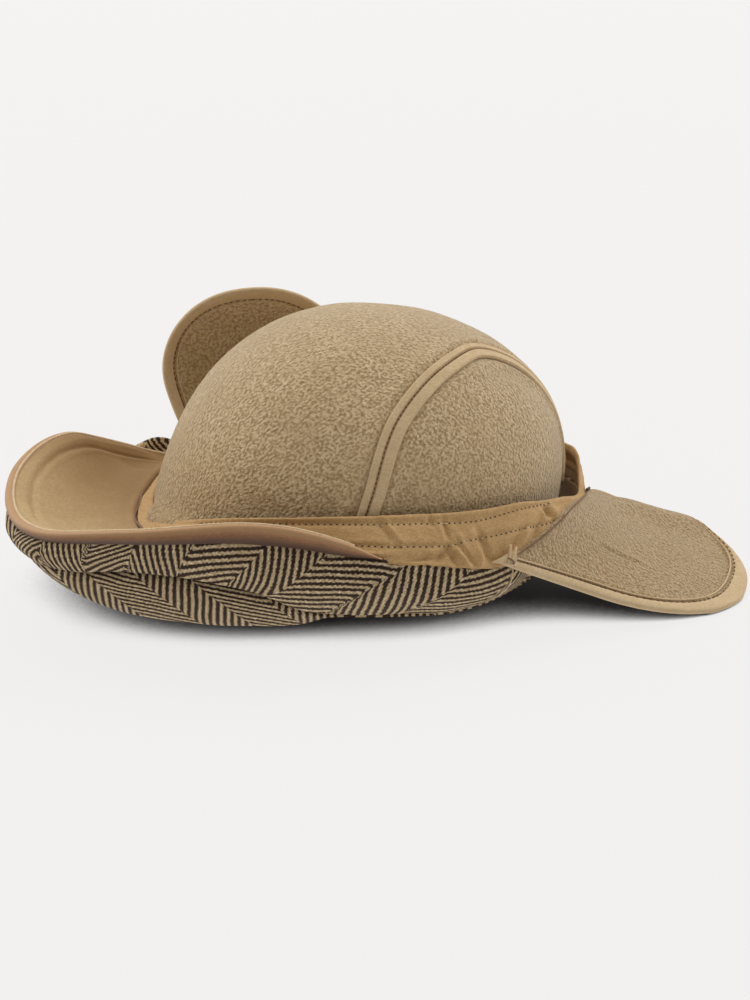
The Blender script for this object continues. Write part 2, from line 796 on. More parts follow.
def lining_panel(name, node, first_line, last_line, sewn, end, steps):
    """A panel between two lines; sewn says which is a seam, and end how far short it stops."""

    def angle_at(a):
        along = lerp(end, 1 - end, a)
        first, last = first_line(along), last_line(along)
        return first, last, np.arccos(np.clip(np.sum(first * last, -1), -1, 1))

    def place(a, b):
        first, last, angle = angle_at(a)
        margin = PANEL_GAP / 2 / DOME["half_width"] / np.maximum(angle, 1e-6)
        t = lerp(margin, 1 - margin, b)
        from_first, from_last = np.sin((1 - t) * angle), np.sin(t * angle)
        way = first * from_first[..., None] + last * from_last[..., None]
        return dome_point(way / np.sin(angle)[..., None])

    def pile(a, b):
        total = lumps(place(a, b), FLEECE_LUMPS)
        for is_seam, share in zip(sewn, (b, 1 - b)):
            away = share * angle_at(a)[2] * DOME["half_width"]
            total += is_seam * hills(away, SEAM_RELIEF)
        return total

    panel = cloth(name, steps, place, (0, 0, 0), pile)
    thicken(panel, FLEECE_WALL, rounded=False)
    return sew_on(panel, FLEECE, "fleece", node)


lining_panel(
    "fleece_right", "lining_right", rim_right, seam_right, (False, True), SIDE_END, (190, 100)
)
lining_panel("fleece_centre", "lining_centre", seam_right, seam_left, (True, True), 0.0, (300, 150))
lining_panel("fleece_left", "lining_left", seam_left, rim_left, (True, False), SIDE_END, (190, 100))

# %% [markdown]
# ## Seam tapes
#
# A tape covers each lining seam. It is sewn down near its middle, so it shows two flat ridges
# with a groove between them, and the stitches lie in the groove. Two thin tapes side by side
# would look the same, but it is one tape, so it is one cloth with a ridged face.

# %% Seam tapes
TAPE = {"width": 9.5, "groove": 0.16, "ridge": 1.45, "lift": 0.1, "wall": 0.9}
TAPE_SPREAD = {"from": 0.93, "top": 0.2, "foot": 0.3}
TAPE_STITCHES = {"count": 95, "lift": 0.35, "size": (1.7, 0.7, 0.6)}


def tape_line(seam, along, x):
    """A point x millimetres aside from a seam, with the way ahead and the way out there."""
    step = 0.01
    way = seam(along)
    ahead = unit(seam(along + step) - seam(along - step))
    way = unit(way + np.cross(way, ahead) * np.tan(x / DOME["height"])[..., None])
    return way, ahead


def tape_reach(a, b):
    """How far aside a place on the tape lies: it is cut a little wider towards its ends."""
    spread = 1 + TAPE_SPREAD["top"] * eased(a, TAPE_SPREAD["from"], 1.0)
    spread = spread + TAPE_SPREAD["foot"] * eased(1 - a, TAPE_SPREAD["from"], 1.0)
    return TAPE["width"] / 2 * lerp(-1, 1, b) * spread


def tape_profile(b):
    """How high the tape stands: low in its groove and at both edges."""
    across = lerp(-1, 1, b)
    ridge = eased(np.abs(across - TAPE["groove"]), 0.05, 0.2)
    ridge = ridge * (1 - eased(np.abs(across), 0.86, 1.0))
    return TAPE["lift"] + TAPE["ridge"] * ridge


for side, seam in (("right", seam_right), ("left", seam_left)):

    def tape_place(a, b, seam=seam):
        way, ahead = tape_line(seam, lerp(0.02, 0.98, a), tape_reach(a, b))
        return dome_point(way, tape_profile(b))

    tape = cloth(f"seam_tape_{side}", (300, 36), tape_place, (0, 0, 0))
    thicken(tape, TAPE["wall"], rounded=False)
    sew_on(tape, TAPE_CLOTH, "fleece", f"lining_tape_{side}")

    along = np.linspace(0.04, 0.96, TAPE_STITCHES["count"])
    way, ahead = tape_line(seam, along, TAPE["width"] / 2 * TAPE["groove"] * np.ones_like(along))
    spots = dome_point(way, TAPE_STITCHES["lift"])
    name = f"tape_stitches_{side}"
    row = stitch_row(name, spots, way_along(spots), way, TAPE_STITCHES["size"])
    sew_on(row, BROWN_THREAD, "fleece")

# %% [markdown]
# ## The head seam and the peak's edge in tables
#
# Everything meets at the head seam: band, tweed, peak and flaps. It could be an ellipse, but a
# worn cap has none, so a table gives its radius and height at a few bearings, with the peak
# at 270 degrees and the back of the head at 90. The peak's edge has a table of its own.

# %% The head seam and the peak's edge
HEAD_SEAM = [  # bearing, radius, height, the band's edge: radius, height
    (8, 102, 39, 93, 62.8),
    (20, 102, 42.5, 95, 61.8),
    (30, 103, 47, 97.5, 58.8),
    (40, 104, 50.5, 100.5, 55.6),
    (53, 106, 49.5, 104.5, 50.5),
    (63, 107, 46, 105.8, 54.5),
    (71, 107.3, 45.2, 107.5, 60.5),
    (83, 107.5, 44, 108.5, 60),
    (110, 106, 45.5, 107, 62),
    (140, 104, 47, 102, 62),
    (170, 101, 47, 95, 60),
    (205, 102, 47, 94.5, 54),
    (235, 99.5, 46, 94.2, 49.5),
    (255, 105, 45, 97.4, 48.5),
    (270, 110.5, 46, 98.8, 50),
    (300, 109, 47, 100, 63),
    (325, 104, 48.5, 93, 65.5),
    (345, 103, 47, 91, 65),
]
PEAK_EDGE = [  # bearing, radius, height
    (203, 103.3, 47),
    (210, 113, 47.5),
    (217, 126, 54.5),
    (222, 135, 60),
    (226, 142, 64),
    (231, 149, 64.5),
    (242, 158.5, 60),
    (256, 163, 53),
    (272, 162, 54),
    (288, 147, 61),
    (305, 122, 65),
    (316, 115, 64.5),
    (328, 109, 58),
    (338, 104.6, 48.4),
]
head_seam = smooth_line(HEAD_SEAM, ring=True)
peak_edge = smooth_line(PEAK_EDGE)


def head_seam_point(at, out=0.0, up=0.0):
    """A place on the head seam, or a little out from it and above it."""
    radius, height = columns(head_seam(at))[:2]
    return around(at, radius + out, height + up)


def peak_edge_point(at):
    radius, height = columns(peak_edge(at))
    return around(at, radius, height)


def peak_edge_out(at):
    """The level way out from the peak's edge."""
    return unit(np.cross(peak_edge_point(at + 1) - peak_edge_point(at - 1), [0, 0, 1]))


print("the peak's edge is", round(max(row[1] for row in PEAK_EDGE)), "mm out at its tip")

# %% [markdown]
# ## The crown in tables
#
# Upside down, the crown is a shallow dish. Its top panel lies flat on the floor, and rises in
# a curve to the crown seam. From there the tweed wall climbs to the head seam or the peak's
# edge, and bulges on the way. Two tables say where the flat ends and where the seam runs.

# %% The crown's seam and its flat
CROWN_SEAM = [  # bearing, radius, height, swell, puff
    (0, 82, 12, 9, 0),
    (30, 84, 13, 5, 0),
    (60, 92, 15, 3, 0),
    (90, 95, 16, 5, 0),
    (120, 93, 16, 6, 0),
    (150, 92, 16, 7, 0),
    (180, 92, 18, 7, 0),
    (200, 96, 21, 7, 10),
    (208, 102, 25, 13, 18),
    (217, 114, 30, 10, 6),
    (227, 133, 35, 3, 2),
    (244, 154, 38, 4, 0),
    (256, 160, 37, 5, 0),
    (266, 159, 36, 5, 0),
    (275, 151.5, 37, 4, 0),
    (288, 136, 41, 2, 0),
    (305, 107, 31, 4, 0),
    (316, 93, 19, 7, 0),
    (328, 83, 15, 9, 0),
    (345, 79, 13, 10, 0),
]
CROWN_FLAT = [  # bearing, radius, share of an even slope
    (0, 34, 1.0),
    (30, 38, 1.0),
    (60, 53, 0.8),
    (120, 58, 0.8),
    (180, 60, 0.7),
    (220, 76, 0.5),
    (245, 86, 0.55),
    (262, 84, 0.57),
    (280, 81, 0.5),
    (295, 66, 0.45),
    (310, 50, 0.52),
    (320, 38, 0.9),
    (340, 32, 1.0),
]
CROWN_ROLL = 6
crown_seam = smooth_line(CROWN_SEAM, ring=True)
crown_flat = smooth_line(CROWN_FLAT, ring=True)


def crown_seam_point(at):
    radius, height = columns(crown_seam(at))[:2]
    return around(at, radius, height)


def wall_rise(at):
    """The way up the tweed wall to the peak's edge."""
    return unit(peak_edge_point(at) - crown_seam_point(at))


print("the flat is", CROWN_FLAT[0][1] + CROWN_FLAT[4][1], "mm wide")

# %% [markdown]
# ## The piping in a table
#
# The piping is a padded strip of brown cloth sewn between the peak's cotton and the tweed. It
# could be a plain round cord, but it rolls over the edge more in some places than in others,
# so a table says how far it reaches above the peak's edge and below it.

# %% The piping's reach
PIPING = {"half_thick": 2.7, "fuller_top": 0.35, "taper": 10, "least": 0.12}
PIPING_TALL = [  # bearing, how far above the peak's edge, how far below it
    (203, 3.0, 3.0),
    (255, 3.2, 3.0),
    (270, 4.0, 2.6),
    (280, 4.8, 2.4),
    (300, 4.2, 6.2),
    (312, 3.2, 9.0),
    (326, 1.6, 8.6),
    (334, 1.0, 4.4),
    (338, 0.6, 1.2),
]
PEAK_ENDS = (PIPING_TALL[0][0], PIPING_TALL[-1][0])
piping_tall = smooth_line(PIPING_TALL)


def piping_fullness(at):
    """1 along the piping, and less towards its two ends."""
    from_end = np.minimum(at - PEAK_ENDS[0], PEAK_ENDS[1] - at)
    full = np.sin(math.pi / 2 * np.clip(from_end / PIPING["taper"], 0, 1))
    return np.maximum(full, PIPING["least"])


print("the piping runs from", PEAK_ENDS[0], "to", PEAK_ENDS[1], "degrees")

# %% [markdown]
# ## The tweed crown
#
# The crown is a top panel, on which the cap lies, and walls sewn to it all round. The front
# wall runs under the peak and round its edge. One turned bowl would be simpler, but a cap is
# sewn from pieces, and the seams and the turn of the weave show it. Where two pieces meet the
# cloth turns in, so both edges sink and a dark line shows between them.

# %% The crown's shape
WALL_TOP = {"out": 1.3, "down": 0.4, "under_piping": 1.8}


def tweed_top(bearing):
    """The walls' upper edge: below the piping on the peak, on the head seam elsewhere."""
    at = np.mod(bearing, 360)
    plain = head_seam_point(at, WALL_TOP["out"], -WALL_TOP["down"])
    on_peak = np.clip(at, *PEAK_ENDS)
    below = piping_tall(on_peak)[..., 1] * piping_fullness(on_peak) - WALL_TOP["under_piping"]
    peaked = peak_edge_point(on_peak) - wall_rise(on_peak) * below[..., None]
    is_peak = (at > PEAK_ENDS[0]) & (at < PEAK_ENDS[1])
    return np.where(is_peak[..., None], peaked, plain)


def crown_point(at, b):
    """From the flat's edge (0) up the top panel to the crown seam (1) and up the wall (2)."""
    radius, height, swell, puff = columns(crown_seam(at))
    flat, ramp = columns(crown_flat(at))
    t = np.clip(b, 0, 1)
    top_panel = around(at, lerp(flat, radius, t), height * lerp(t**CROWN_ROLL, t, ramp))
    up = np.clip(b - 1, 0, 1)
    bulge = np.sin(math.pi * up)
    wall = lerp(around(at, radius, height), tweed_top(at), up[..., None])
    wall = wall + around(at, swell * bulge, puff * bulge**2)
    return np.where((b <= 1)[..., None], top_panel, wall)


front_top = float(tweed_top(np.array(270.0))[2])
print("the front wall rises to", round(front_top), "mm above the floor")

# %% [markdown]
# ## How the weave runs
#
# A wall is cut from flat cloth, so its columns can't stay upright all the way round. Blender
# could unwrap the wall, but the columns would not come where a tailor puts them. So a table
# says where each column of the front wall starts on the crown seam and where it ends at the
# upper edge. Along the columns the stripes climb with the cloth, and every other column is
# steeper, more so on the left, where the cloth is pulled round the peak. The rear wall's
# columns are even and lean back, and the top panel's run from front to back.

# %% The weave's run on the walls
COLUMN_EDGES = [  # column, bearing at the crown seam, bearing at the upper edge
    (-10, 156, 150),
    (-9, 169, 163),
    (-8, 182, 176),
    (-7, 198, 190),
    (-6, 216, 205),
    (-5, 228, 219),
    (-4, 238, 231),
    (-3, 247, 243),
    (-2, 255.3, 252),
    (-1, 263, 262),
    (0, 270.5, 272.5),
    (1, 277.6, 282),
    (2, 285.2, 289.5),
    (3, 292.7, 298.2),
    (4, 300, 311),
    (5, 306.7, 324.1),
    (6, 320.6, 342.7),
    (7, 342.8, 359.6),
    (8, 364, 376),
    (9, 382, 394),
]
WALL_CLIMB = np.array([0.17, 0.65, 0.53])
STEEPER = {"left": (0.8, 0.43), "right": (0.25, 0.12), "turns": (286, 294), "level": 46}


def half_way_round(points):
    """The same points with the left half folded onto the right, so both halves agree."""
    return np.concatenate([np.abs(points[..., :1]), points[..., 1:]], -1)


def front_weave(at, up, points):
    """The front wall's map: its columns fan out as the table says, and climb towards the back."""
    edges = np.array(COLUMN_EDGES, float)
    across = np.empty(at.shape)
    for level in np.unique(up):
        bearings = lerp(edges[:, 1], edges[:, 2], level)
        line = smooth_line(np.stack([bearings, edges[:, 0] * COLUMN], 1))
        across[up == level] = line(at[up == level])[..., 0]
    along = half_way_round(points) @ WALL_CLIMB
    column = np.floor(across / COLUMN)
    left = 1 - eased(at, *STEEPER["turns"])
    by_height, by_width = (
        lerp(right, left_side, left) for right, left_side in zip(STEEPER["right"], STEEPER["left"])
    )
    steeper = (points[..., 2] - STEEPER["level"]) * by_height
    steeper = steeper - (across - (column + 0.5) * COLUMN) * by_width
    along = along + steeper * (column % 2)
    return np.stack([across, along], -1)


REAR_WEAVE = {"lean": 20, "round": 1.66, "start": 13}


def rear_weave(at, up_length):
    """The rear wall's map: even columns that lean back a little."""
    lean = math.radians(REAR_WEAVE["lean"])
    run = COLUMN + REAR_WEAVE["round"] * (at - REAR_WEAVE["start"])
    across = run * math.cos(lean) + up_length * math.sin(lean)
    return np.stack([across, up_length * math.cos(lean) - run * math.sin(lean)], -1)


PANEL_ACROSS = np.array([0.15, 1.0, 1.14])
PANEL_ALONG = np.array([0.56, 0.17, -1.24])
PANEL_MATCH = {"bearing": 285.8, "column": 2}


def panel_weave(points):
    """The top panel's map: columns run from front to back, and meet the front wall's."""
    match = crown_seam_point(np.array(PANEL_MATCH["bearing"])) @ PANEL_ACROSS
    folded = half_way_round(points)
    across = folded @ PANEL_ACROSS - match + PANEL_MATCH["column"] * COLUMN
    return np.stack([across, folded @ PANEL_ALONG], -1)


print("columns on the front wall:", COLUMN_EDGES[-1][0] - COLUMN_EDGES[0][0])

# %% The tweed walls
TWEED_WALL = 1.8
WALL_RADIUS = 95
CAP_MIDDLE = (0, -20, 60)
TWEED_SEAMS = {"right": 13, "left": 167, "overlap": 0.3}
CROWN_SEAM_GAP = 0.0015
SEWN_EDGE = {"reach": 2.6, "depth": 1.5}
WALL_LUMPS = [(0.5, 24, 7.7), (0.25, 9, 1.3)]


def turned_in(distance):
    """How far a sewn edge sinks, by its distance from the seam in millimetres."""
    return -SEWN_EDGE["depth"] * np.clip(1 - distance / SEWN_EDGE["reach"], 0, 1) ** 2


def under_piping(at):
    """1 where the piping runs above the wall, and 0 where the band does."""
    first, last = PEAK_ENDS
    return eased(at, first - 2, first + 4) * (1 - eased(at, last - 6, last + 2))


def tweed_wall(name, node, first, last, steps, weave, inner):
    """A wall between two seams. The walls overlap by a hair there, so no light gets through."""

    def bearing(a):
        return lerp(first - TWEED_SEAMS["overlap"], last + TWEED_SEAMS["overlap"], a)

    def place(a, b):
        return crown_point(bearing(a), lerp(1 + CROWN_SEAM_GAP, 2, b))

    def up_length(a, b):
        seam = crown_seam_point(bearing(a))
        return np.linalg.norm(tweed_top(bearing(a)) - seam, axis=-1) * b

    def height(a, b):
        length = up_length(a, np.ones_like(b))
        from_side = np.minimum(a, 1 - a) * math.radians(last - first) * WALL_RADIUS
        sewn = turned_in(length * b) + turned_in(from_side)
        sewn = sewn + turned_in(length * (1 - b)) * under_piping(bearing(a))
        return sewn + lumps(place(a, b), WALL_LUMPS)

    def own_map(a, b):
        return weave(bearing(a), b, up_length(a, b), place(a, b))

    wall = cloth(name, steps, place, CAP_MIDDLE, height, own_map)
    solid = thicken(wall, TWEED_WALL)
    solid.material_offset = 1
    sew_on(wall, TWEED, "tweed", node)
    wall.data.materials.append(inner)
    return place, height


front_place, front_height = tweed_wall(
    "tweed_wall_front",
    "tweed_front",
    TWEED_SEAMS["left"],
    TWEED_SEAMS["right"] + 360,
    (330, 24),
    lambda at, up, up_length, points: front_weave(at, up, points),
    TWEED,
)
rear_place, rear_height = tweed_wall(
    "tweed_wall_rear",
    "tweed_rear",
    TWEED_SEAMS["right"],
    TWEED_SEAMS["left"],
    (170, 24),
    lambda at, up, up_length, points: rear_weave(at, up_length),
    COTTON,
)

# %% [markdown]
# ## The top panel
#
# The top panel lies under everything. A round grid would meet in a point at its middle and
# pinch the weave there. So the cloth is a ring whose inner edge is the rim of the flat part,
# and the flat itself is one large face, cut into triangles and filled in afterwards.

# %% The top panel
TOP_PANEL = {"reach": 1.001, "lumps": [(0.4, 22, 4.4)]}
TUCKED_UNDER = {"bearing": 8, "from": 0.55, "to": 0.75}


def top_place(a, b):
    return crown_point(360 * a, b * TOP_PANEL["reach"])


def top_height(a, b):
    """Its seam sinks all round, except where the flap hides it and the wall lies over it."""
    radius, height = columns(crown_seam(360 * a))[:2]
    slant = np.hypot(radius - crown_flat(360 * a)[..., 0], height)
    towards_flap = np.cos(np.radians(360 * a - TUCKED_UNDER["bearing"]))
    tucked = eased(towards_flap, TUCKED_UNDER["from"], TUCKED_UNDER["to"])
    soft = lumps(top_place(a, b), TOP_PANEL["lumps"]) * eased(b, 0.15, 0.5)
    return turned_in(slant * (1 - b)) * (1 - tucked) + soft


top_panel = cloth(
    "crown_top_panel",
    (300, 26),
    top_place,
    (0, 0, 300),
    top_height,
    lambda a, b: panel_weave(top_place(a, b)),
    ring=True,
)
with opened(top_panel.data) as bm:
    hole = [e for e in bm.edges if e.is_boundary and all(v.co.z < 0.5 * MM for v in e.verts)]
    bmesh.ops.contextual_create(bm, geom=hole)
    bmesh.ops.triangulate(bm, faces=[f for f in bm.faces if len(f.verts) > 4])
    weave_layer = bm.loops.layers.uv["weave"]
    for face in bm.faces:
        if len(face.verts) == 3:
            for loop in face.loops:
                loop[weave_layer].uv = panel_weave(np.array(loop.vert.co) / MM)
thicken(top_panel, TWEED_WALL, rounded=False)
sew_on(top_panel, TWEED, "tweed", "crown_top")

# %% [markdown]
# ## The sweatband
#
# The band is a strip of cotton whose upper edge is rolled over and stitched. A second row of
# stitches runs lower down. Sewn cotton puckers: it dips along each row, a little deeper at
# each stitch, and it creases where the cap has been folded. Such creases could be sculpted,
# but a table of ridges and valleys can be read and changed. The band's foot stands out over
# the tweed, and tucks in behind the piping where the peak begins.

# %% The band's rows and creases
BAND_WALL = 1.5
BAND_ROUND = 647.0
BAND_TALL = 22.0
STITCH_PITCH = 2.9
BAND_UPPER_ROW = [  # bearing, share of the way up
    (1.8, 0.82),
    (12, 0.85),
    (19, 0.86),
    (29, 0.87),
    (43.5, 0.85),
    (70, 0.86),
    (160, 0.86),
    (250, 0.86),
    (310, 0.87),
    (331, 0.83),
    (342, 0.82),
    (355, 0.82),
]
BAND_LOWER_ROW = [  # bearing, share of the way up
    (0, 0.51),
    (8, 0.55),
    (19, 0.48),
    (25, 0.38),
    (32, 0.26),
    (40, 0.24),
    (55, 0.35),
    (90, 0.45),
    (180, 0.42),
    (270, 0.4),
    (318, 0.36),
    (330, 0.35),
    (341, 0.38),
    (351, 0.39),
    (355, 0.43),
]
BAND_CREASES = [  # round, up, slant, half length, half width, height
    (607.6, 15.2, -53, 7.5, 0.9, -0.75),
    (609.8, 15.6, -53, 7, 1.3, 0.5),
    (636.6, 15.3, 88, 4.6, 0.9, -0.85),
    (634.4, 14.6, 88, 4, 1.2, 0.45),
    (630.3, 18.9, -75, 2.4, 0.8, -0.8),
    (53.5, 12.5, 80, 4.5, 1.2, -0.9),
    (56.5, 11.5, 75, 3.5, 1.5, 0.5),
    (643.5, 11.0, -70, 4, 1.4, 0.5),
    (52, 14.6, 70, 3.6, 1.6, -1.3),
    (47.6, 13.4, 60, 3, 1.5, 0.5),
    (7.2, 11.2, -80, 4, 1.5, -0.9),
    (632, 5.0, 42, 5, 1.1, -0.9),
    (629, 6.6, 42, 5, 1.2, 0.5),
    (636.8, 4.2, -70, 4.5, 0.9, -0.9),
    (641.5, 4.8, -52, 5, 1.2, 0.8),
    (645.4, 4.2, -55, 4.5, 0.9, -0.7),
    (624, 3.0, 12, 7, 1.0, -0.7),
    (4, 3.6, 62, 4.5, 1.2, 0.7),
    (8.5, 4.6, -62, 4, 1.1, -0.7),
    (24, 6.5, 30, 7, 1.5, -0.6),
    (33, 8.6, 38, 6, 1.4, 0.6),
    (40, 7.4, 44, 6, 1.1, -0.6),
    (600, 3.6, 8, 9, 1.2, 0.5),
    (560, 10, -60, 6, 1.2, -0.5),
    (120, 9, 75, 6, 1.4, -0.7),
    (205, 10, -70, 7, 1.6, -0.7),
    (310, 9, 80, 6, 1.4, -0.6),
    (395, 6, -75, 4, 1.4, -0.5),
]
band_upper_row = smooth_line(BAND_UPPER_ROW, ring=True)
band_lower_row = smooth_line(BAND_LOWER_ROW, ring=True)
print("creases on the band:", len(BAND_CREASES))

# %% The band's shape
BAND_FOOT = {"out": 2.4, "out_in_peak": 0.3, "down": 0.5, "down_in_peak": -0.6, "down_behind": 1.8}
BAND_BEHIND = {"bearing": 125, "from": 0.2, "to": 0.6}
BAND_BOW = {"out": 1.5, "full_at": 12}
ROW_DIP = {"depth": 0.5, "pull": 0.3, "width": 0.9, "swell": 0.25, "swell_at": 2.4}
ROOM_FOR_ROWS = (8, 14)
CREASE_DEPTH = 2.9
BAND_HEMS = {"upper": [(0.8, 1.1, 1)], "foot": [(0.35, 0.8, 1)]}  # height, distance, spread
BAND_LUMPS = [(0.4, 17, 2.2), (0.22, 6, 8.1)]


def band_tall(at):
    radius, height, edge_radius, edge_height = columns(head_seam(at))
    return np.hypot(radius - edge_radius, height - edge_height)


def band_place(a, b):
    at = 360 * np.mod(a, 1)
    radius, height, edge_radius, edge_height = columns(head_seam(at))
    upright = np.clip((edge_height - height) / BAND_BOW["full_at"], 0, 1)
    bow = BAND_BOW["out"] * np.sin(math.pi * b) * upright
    in_peak = under_piping(at)
    out = lerp(BAND_FOOT["out"], BAND_FOOT["out_in_peak"], in_peak)
    towards_back = np.cos(np.radians(at - BAND_BEHIND["bearing"]))
    behind = eased(towards_back, BAND_BEHIND["from"], BAND_BEHIND["to"])
    down = BAND_FOOT["down"] + BAND_FOOT["down_behind"] * behind
    foot = height - lerp(down, BAND_FOOT["down_in_peak"], in_peak)
    return around(at, lerp(radius + out, edge_radius, b) + bow, lerp(foot, edge_height, b))


def band_height(a, b):
    """The hems swell, the rows of stitches dip, and the creases run across."""
    at = 360 * np.mod(a, 1)
    tall = band_tall(at)
    round_way, up = at / 360 * BAND_ROUND, b * BAND_TALL
    total = hills((1 - b) * tall, BAND_HEMS["upper"]) + hills(b * tall, BAND_HEMS["foot"])
    pull = 0.5 + 0.5 * np.cos(2 * math.pi * round_way / STITCH_PITCH)
    room = eased(tall, *ROOM_FOR_ROWS)
    for row in (band_upper_row(at)[..., 0], band_lower_row(at)[..., 0]):
        above = (b - row) * tall
        dip = hump(above, 0, ROW_DIP["width"]) * (ROW_DIP["depth"] + ROW_DIP["pull"] * pull)
        swell = ROW_DIP["swell"] * hump(above, ROW_DIP["swell_at"], math.sqrt(2.5))
        total = total + (swell - dip) * room
    total = total + lumps(band_place(a, b), BAND_LUMPS)
    return total + CREASE_DEPTH * creases(round_way, up, BAND_CREASES, BAND_ROUND)


band = cloth(
    "cotton_band",
    (450, 26),
    band_place,
    (0, 0, 0),
    band_height,
    lambda a, b: np.stack([a * BAND_ROUND, b * BAND_TALL], -1),
    ring=True,
)
thicken(band, BAND_WALL)
sew_on(band, COTTON, "cotton", "sweatband")

# %% [markdown]
# ## The band's stitches
#
# Each stitch is a pale thread that lies on the cotton and dives into a small dark hole. A
# dashed line could be painted on, but small bodies catch the light as thread does. The holes
# are dark bodies between the threads. In the peak the rows are hidden, so they stop there.

# %% The band's stitches
ROW_HIDDEN = (236, 288)
ROW_LEAST_TALL = 11
BAND_ROW_PARTS = {  # name: share of a stitch ahead, lift, size, finish
    "band_stitches": (0.0, 0.1, (1.0, 0.75, 0.5), DARK_THREAD),
    "band_thread": (0.5, 0.12, (1.9, 0.6, 0.5), PALE_THREAD),
}
count = round(BAND_ROUND / STITCH_PITCH)
for name, row in (("upper", band_upper_row), ("lower", band_lower_row)):
    first = (np.arange(count) + 0.5) / count
    shown = (360 * first < ROW_HIDDEN[0]) | (360 * first > ROW_HIDDEN[1])
    first = first[(band_tall(360 * first) > ROW_LEAST_TALL) & shown]
    for part, (share, lift, size, finish) in BAND_ROW_PARTS.items():
        a = first + share * STITCH_PITCH / BAND_ROUND
        b = row(360 * a)[..., 0]
        spots, ahead, out = on_cloth(band_place, band_height, (0, 0, 0), a, b, lift)
        sew_on(stitch_row(f"{part}_{name}", spots, ahead, out, size), finish, "cotton")

# %% [markdown]
# ## The peak
#
# Upside down, the peak shows its cotton side: a thin cloth over a stiff board, dished a
# little, with a row of stitches inside its edge and a brown thread along the crease at the
# band. A flat plate could be bent with a lattice, but here the cloth is drawn between two
# known lines, the head seam and the peak's edge, so it always meets both.

# %% The peak's cotton side
PEAK = {"first": 208, "last": 334, "dish": 5, "dish_from": 40, "tucked": 1.2, "wall": 1.3}
PEAK_NARROWS = (282, 306)
PEAK_ROOT_INSET = (1.5, 3.5)
PEAK_EDGE_INSET = (0.9, 3.4)
PEAK_ROW = {"in": 8.3, "more": 3.0, "turns": (214, 238), "needs": (16, 30)}
PEAK_RELIEF = {  # height, distance from the line it lies beside, spread
    "rim": [(0.5, 1.6, 1.1)],
    "pad": [(0.9, 4.8, 2.8)],
    "row": [(-1.1, 0, 0.9), (0.35, 3, 1.6)],
    "root": [(0.9, 4.4, 2.2), (-2.4, 1.0, 1.3)],
}
PEAK_LUMPS = [(0.5, 30, 6.6), (0.15, 8, 3.9)]


def peak_place(a, b):
    at = lerp(PEAK["first"], PEAK["last"], a)
    narrow = eased(at, *PEAK_NARROWS)
    root = head_seam_point(at, -lerp(*PEAK_ROOT_INSET, narrow))
    rise = piping_tall(np.clip(at, *PEAK_ENDS))[..., 0] - PEAK["tucked"]
    edge = peak_edge_point(at) + np.array([0, 0, 1]) * rise[..., None]
    edge = edge - peak_edge_out(at) * lerp(*PEAK_EDGE_INSET, narrow)[..., None]
    room = np.clip(np.linalg.norm(edge - root, axis=-1) / PEAK["dish_from"], 0, 1)
    points = lerp(edge, root, b[..., None])
    points[..., 2] -= PEAK["dish"] * room**2 * np.sin(math.pi * b) ** 2
    return points


def peak_row(a):
    """How far in from its edge the peak's row of stitches runs."""
    at = lerp(PEAK["first"], PEAK["last"], a)
    return PEAK_ROW["in"] + PEAK_ROW["more"] * (1 - eased(at, *PEAK_ROW["turns"]))


def peak_reach(a):
    """How far it is from the peak's edge to the head seam."""
    ends = peak_place(np.stack([a, a]), np.stack([np.zeros_like(a), np.ones_like(a)]))
    return np.linalg.norm(ends[1] - ends[0], axis=-1)


def peak_height(a, b):
    """From the edge inwards: a rim, a pad, the row of stitches, and a ruck beside the band."""
    from_edge = peak_reach(a) * b
    from_root = peak_reach(a) - from_edge
    total = hills(from_edge, PEAK_RELIEF["pad"]) + hills(from_root, PEAK_RELIEF["root"])
    total = total + hills(from_edge - peak_row(a), PEAK_RELIEF["row"])
    total = total * eased(peak_reach(a), *PEAK_ROW["needs"])
    return total + hills(from_edge, PEAK_RELIEF["rim"]) + lumps(peak_place(a, b), PEAK_LUMPS)


PEAK_BELOW = (0, -130, -400)
peak = cloth("peak_cotton", (210, 56), peak_place, PEAK_BELOW, peak_height)
thicken(peak, PEAK["wall"])
sew_on(peak, PEAK_COTTON, "cotton", "peak_underside")

# %% The peak's threads
PEAK_ROOT_SEAM = {"first": 240, "last": 272, "out": 1, "up": 0.5, "radius": 0.7}
ROOT_WANDER = {"out": 0.8, "every": 3.1}
PEAK_STITCHES = {"count": 130, "needs": 20, "lift": 0.1, "size": (1.6, 0.6, 0.5)}


def peak_root_line(a):
    """The crease where the peak's cotton meets the band."""
    at = lerp(PEAK_ROOT_SEAM["first"], PEAK_ROOT_SEAM["last"], a)
    out = PEAK_ROOT_SEAM["out"] + ROOT_WANDER["out"] * np.sin(at / ROOT_WANDER["every"])
    return head_seam_point(at, out, PEAK_ROOT_SEAM["up"])


root_seam = cord("peak_root_seam", peak_root_line, PEAK_ROOT_SEAM["radius"], 80)
sew_on(root_seam, BROWN_THREAD, "cotton")
a = np.linspace(0.06, 0.94, PEAK_STITCHES["count"])
a = a[peak_reach(a) > PEAK_STITCHES["needs"]]
b = peak_row(a) / peak_reach(a)
spots, ahead, out = on_cloth(peak_place, peak_height, PEAK_BELOW, a, b, PEAK_STITCHES["lift"])
stitches = stitch_row("peak_stitches", spots, ahead, out, PEAK_STITCHES["size"])
sew_on(stitches, BROWN_THREAD, "cotton")

# %% [markdown]
# ## The piping
#
# A bevelled curve could run round the peak, but its section would be the same all along. So
# the piping is a closed tube whose section changes by the table: a tall rounded shape, fuller
# at its top. Inside its top the cotton is whipped to it: a thin ridge of thread, with short
# slanting stitches over it.

# %% The piping
WHIP = {"down": 0.4, "in": 1.4, "radius": 0.6, "slant": 1.1, "count": 190, "size": (1.9, 0.95, 1.5)}


